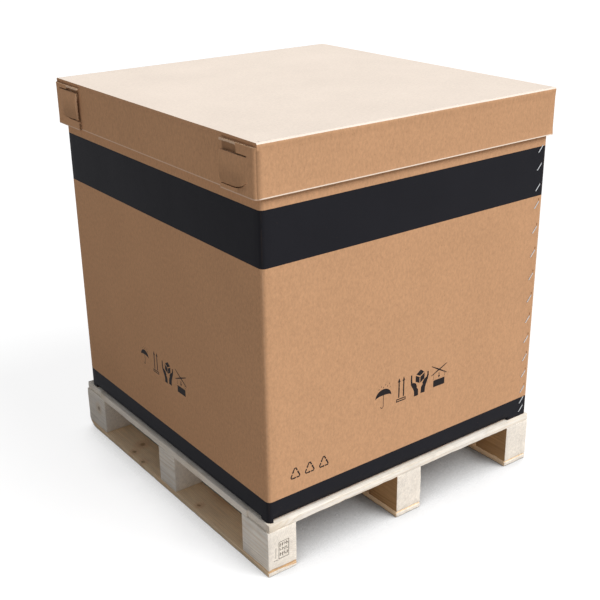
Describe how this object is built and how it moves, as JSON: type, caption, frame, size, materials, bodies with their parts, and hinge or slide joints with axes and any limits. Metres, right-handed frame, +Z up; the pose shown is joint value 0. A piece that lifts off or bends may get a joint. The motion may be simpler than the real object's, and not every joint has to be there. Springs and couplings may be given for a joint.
{
  "type": "bulk pallet box",
  "caption": "Corrugated bulk box with a telescopic lift-off lid, standing on a block pallet with fork entry from every side.",
  "frame": {"origin": "foot of the bounding box's centre, on the floor", "axes": "+Z up; -Y is the front, the panel whose right edge carries the wire stitches; +X to the right of that front"},
  "size_m": [0.8296, 0.858, 0.95],
  "materials": {
    "timber": "rough sawn pine, pale and slightly greyed",
    "sleeve_board": "plain kraft corrugated board with printed black bands",
    "lid_board": "plain kraft corrugated board",
    "stitch_wire": "bright galvanised flat wire"
  },
  "bodies": {
    "pallet_box": {"bottom_board_left": "timber", "bottom_board_middle": "timber", "bottom_board_right": "timber", "block_front_left": "timber", "block_middle_left": "timber", "block_rear_left": "timber", "block_front_middle": "timber", "block_middle_middle": "timber", "block_rear_middle": "timber", "block_front_right": "timber", "block_middle_right": "timber", "block_rear_right": "timber", "lead_board_front": "timber", "lead_board_rear": "timber", "deck_board_left": "timber", "deck_board_middle": "timber", "deck_board_right": "timber", "sleeve": "sleeve_board", "wire_stitch_1": "stitch_wire", "wire_stitch_2": "stitch_wire", "wire_stitch_3": "stitch_wire", "wire_stitch_4": "stitch_wire", "wire_stitch_5": "stitch_wire", "wire_stitch_6": "stitch_wire", "wire_stitch_7": "stitch_wire", "wire_stitch_8": "stitch_wire", "wire_stitch_9": "stitch_wire", "wire_stitch_10": "stitch_wire", "wire_stitch_11": "stitch_wire", "wire_stitch_12": "stitch_wire", "wire_stitch_13": "stitch_wire", "wire_stitch_14": "stitch_wire", "wire_stitch_15": "stitch_wire", "wire_stitch_16": "stitch_wire", "wire_stitch_17": "stitch_wire"},
    "lid": {"lid": "lid_board"}
  },
  "joints": [
    {"name": "lid_lift", "type": "slide", "parent": "pallet_box", "child": "lid", "axis": [0, 0, 1], "range_m": [0, 0.13]}
  ]
}
